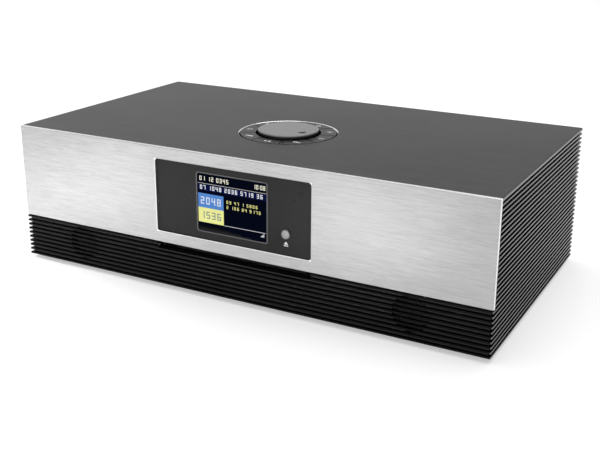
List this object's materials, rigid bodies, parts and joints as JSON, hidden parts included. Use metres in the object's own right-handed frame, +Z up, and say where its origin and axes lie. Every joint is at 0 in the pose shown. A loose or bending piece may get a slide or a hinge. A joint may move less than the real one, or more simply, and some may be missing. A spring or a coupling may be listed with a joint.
{
  "type": "stereo receiver",
  "caption": "Table-top stereo receiver with slot-in disc player, colour display, built-in speakers, ribbed sides and a control dial in its lid.",
  "frame": {"origin": "on the ground under the middle of the cabinet", "axes": "+X to the right seen from the front, the front faces -Y, +Z up"},
  "size_m": [0.41, 0.224, 0.1197],
  "materials": {
    "black_ribbed_aluminium": "black anodised, satin, with bright rib edges",
    "brushed_aluminium": "fine brushed along the width, natural anodised",
    "anthracite_aluminium": "fine brushed, anthracite anodised",
    "dial_key_finish": "satin anthracite",
    "knob_aluminium": "turned, spun brushed",
    "silver_button": "turned satin",
    "frame_silver": "satin",
    "window_acrylic": "dark grey tinted, semi matt",
    "screen_glass": "dark colour display, lit",
    "black_steel": "fine texture black powder coat",
    "zinc_steel": "bright zinc plated",
    "machine_steel": "ground",
    "screw_steel": "black oxide",
    "foot_rubber": "matt",
    "roller_rubber": "ground matt",
    "surround_rubber": "satin",
    "board_green": "solder mask",
    "black_plastic": "fine moulded",
    "sled_plastic": "moulded",
    "gear_plastic": "natural acetal",
    "seal_felt": "pressed felt",
    "sink_aluminium": "black anodised",
    "transformer_wrap": "yellow polyester wrap",
    "capacitor_sleeve": "shrink sleeve with aluminium top",
    "socket_shield": "nickel plated",
    "basket_steel": "black lacquer",
    "cone_paper": "coated paper",
    "ribbon_plastic": "flat cable",
    "lead_rubber": "sheathed pair"
  },
  "bodies": {
    "cabinet": {"base_tray": "black_steel", "capacitors": "capacitor_sleeve", "case_screws": "screw_steel", "control_board": "board_green", "disc_top_guide": "black_steel", "display_board": "board_green", "display_frame": "frame_silver", "display_ribbon": "ribbon_plastic", "display_window": "window_acrylic", "encoder_body": "black_plastic", "front_fascia": "brushed_aluminium", "heat_sink": "sink_aluminium", "key_carrier": "dial_key_finish", "lcd_panel": "screen_glass", "left_side_panel": "black_ribbed_aluminium", "line_sockets": "black_plastic", "loader_chassis": "black_steel", "loading_motor": "machine_steel", "lower_front_grille": "black_ribbed_aluminium", "main_board": "board_green", "mains_inlet": "black_plastic", "network_socket": "socket_shield", "power_board": "board_green", "push_switches": "black_plastic", "rear_panel": "black_steel", "right_side_panel": "black_ribbed_aluminium", "rubber_feet": "foot_rubber", "slot_dust_seal": "seal_felt", "speaker_baskets": "basket_steel", "speaker_chambers": "black_plastic", "speaker_leads": "lead_rubber", "speaker_surrounds": "surround_rubber", "top_plate": "anthracite_aluminium", "transformer": "transformer_wrap", "tuner_module": "zinc_steel"},
    "eject_button": {"eject_button": "silver_button"},
    "dial_plunger": {"encoder_shaft": "machine_steel"},
    "dial_knob": {"jog_dial": "knob_aluminium"},
    "disc_clamp": {"disc_clamp": "black_plastic"},
    "feed_roller": {"feed_roller": "roller_rubber", "roller_gear": "gear_plastic"},
    "motor_pinion": {"motor_pinion": "gear_plastic"},
    "traverse": {"traverse_frame": "black_plastic", "guide_rods": "machine_steel", "spindle_motor": "machine_steel", "sled_motor": "machine_steel"},
    "turntable": {"turntable": "black_plastic"},
    "laser_sled": {"laser_sled": "sled_plastic"},
    "lead_screw": {"lead_screw": "machine_steel"},
    "left_speaker_cone": {"left_speaker_cone": "cone_paper"},
    "right_speaker_cone": {"right_speaker_cone": "cone_paper"},
    "dial_key_1": {"dial_key_1": "dial_key_finish"},
    "dial_key_2": {"dial_key_2": "dial_key_finish"},
    "dial_key_3": {"dial_key_3": "dial_key_finish"},
    "dial_key_4": {"dial_key_4": "dial_key_finish"},
    "dial_key_5": {"dial_key_5": "dial_key_finish"},
    "dial_key_6": {"dial_key_6": "dial_key_finish"},
    "dial_key_7": {"dial_key_7": "dial_key_finish"},
    "dial_key_8": {"dial_key_8": "dial_key_finish"},
    "dial_key_9": {"dial_key_9": "dial_key_finish"}
  },
  "joints": [
    {"name": "eject_press", "type": "slide", "parent": "cabinet", "child": "eject_button", "axis": [0, 1, 0], "range_m": [0, 0.0008], "stiffness_N_per_m": 400, "springref_m": -0.001},
    {"name": "key_1_press", "type": "slide", "parent": "cabinet", "child": "dial_key_1", "axis": [0, 0, -1], "range_m": [0, 0.0006], "stiffness_N_per_m": 500, "springref_m": -0.001},
    {"name": "key_2_press", "type": "slide", "parent": "cabinet", "child": "dial_key_2", "axis": [0, 0, -1], "range_m": [0, 0.0006], "stiffness_N_per_m": 500, "springref_m": -0.001},
    {"name": "key_3_press", "type": "slide", "parent": "cabinet", "child": "dial_key_3", "axis": [0, 0, -1], "range_m": [0, 0.0006], "stiffness_N_per_m": 500, "springref_m": -0.001},
    {"name": "key_4_press", "type": "slide", "parent": "cabinet", "child": "dial_key_4", "axis": [0, 0, -1], "range_m": [0, 0.0006], "stiffness_N_per_m": 500, "springref_m": -0.001},
    {"name": "key_5_press", "type": "slide", "parent": "cabinet", "child": "dial_key_5", "axis": [0, 0, -1], "range_m": [0, 0.0006], "stiffness_N_per_m": 500, "springref_m": -0.001},
    {"name": "key_6_press", "type": "slide", "parent": "cabinet", "child": "dial_key_6", "axis": [0, 0, -1], "range_m": [0, 0.0006], "stiffness_N_per_m": 500, "springref_m": -0.001},
    {"name": "key_7_press", "type": "slide", "parent": "cabinet", "child": "dial_key_7", "axis": [0, 0, -1], "range_m": [0, 0.0006], "stiffness_N_per_m": 500, "springref_m": -0.001},
    {"name": "key_8_press", "type": "slide", "parent": "cabinet", "child": "dial_key_8", "axis": [0, 0, -1], "range_m": [0, 0.0006], "stiffness_N_per_m": 500, "springref_m": -0.001},
    {"name": "key_9_press", "type": "slide", "parent": "cabinet", "child": "dial_key_9", "axis": [0, 0, -1], "range_m": [0, 0.0006], "stiffness_N_per_m": 500, "springref_m": -0.001},
    {"name": "dial_press", "type": "slide", "parent": "cabinet", "child": "dial_plunger", "axis": [0, 0, -1], "range_m": [0, 0.0005], "stiffness_N_per_m": 2000, "springref_m": -0.0008},
    {"name": "dial_turn", "type": "hinge", "parent": "dial_plunger", "child": "dial_knob", "pos_m": [0, -0.0227, 0.117], "axis": [0, 0, 1], "continuous": true},
    {"name": "clamp_spin", "type": "hinge", "parent": "cabinet", "child": "disc_clamp", "pos_m": [0, -0.03, 0.0395], "axis": [0, 0, 1], "continuous": true},
    {"name": "roller_turn", "type": "hinge", "parent": "cabinet", "child": "feed_roller", "pos_m": [0, -0.0965, 0.0304], "axis": [1, 0, 0], "continuous": true},
    {"name": "pinion_turn", "type": "hinge", "parent": "cabinet", "child": "motor_pinion", "pos_m": [0, -0.08896, 0.02035], "axis": [1, 0, 0], "continuous": true},
    {"name": "traverse_lift", "type": "slide", "parent": "cabinet", "child": "traverse", "axis": [0, 0, 1], "range_m": [0, 0.0052]},
    {"name": "disc_spin", "type": "hinge", "parent": "traverse", "child": "turntable", "pos_m": [0, -0.03, 0.0288], "axis": [0, 0, 1], "continuous": true},
    {"name": "sled_travel", "type": "slide", "parent": "traverse", "child": "laser_sled", "axis": [0, 1, 0], "range_m": [0, 0.034]},
    {"name": "screw_turn", "type": "hinge", "parent": "traverse", "child": "lead_screw", "pos_m": [0.033, 0, 0.0238], "axis": [0, 1, 0], "range_deg": [0, 4100]},
    {"name": "left_cone_stroke", "type": "slide", "parent": "cabinet", "child": "left_speaker_cone", "axis": [0, -1, 0], "range_m": [-0.0008, 0.0008], "stiffness_N_per_m": 900},
    {"name": "right_cone_stroke", "type": "slide", "parent": "cabinet", "child": "right_speaker_cone", "axis": [0, -1, 0], "range_m": [-0.0008, 0.0008], "stiffness_N_per_m": 900}
  ],
  "couplings": [
    {"joint": "pinion_turn", "follows": "roller_turn", "ratio": -4},
    {"joint": "screw_turn", "follows": "sled_travel", "rad_per_m": 2094.4}
  ]
}
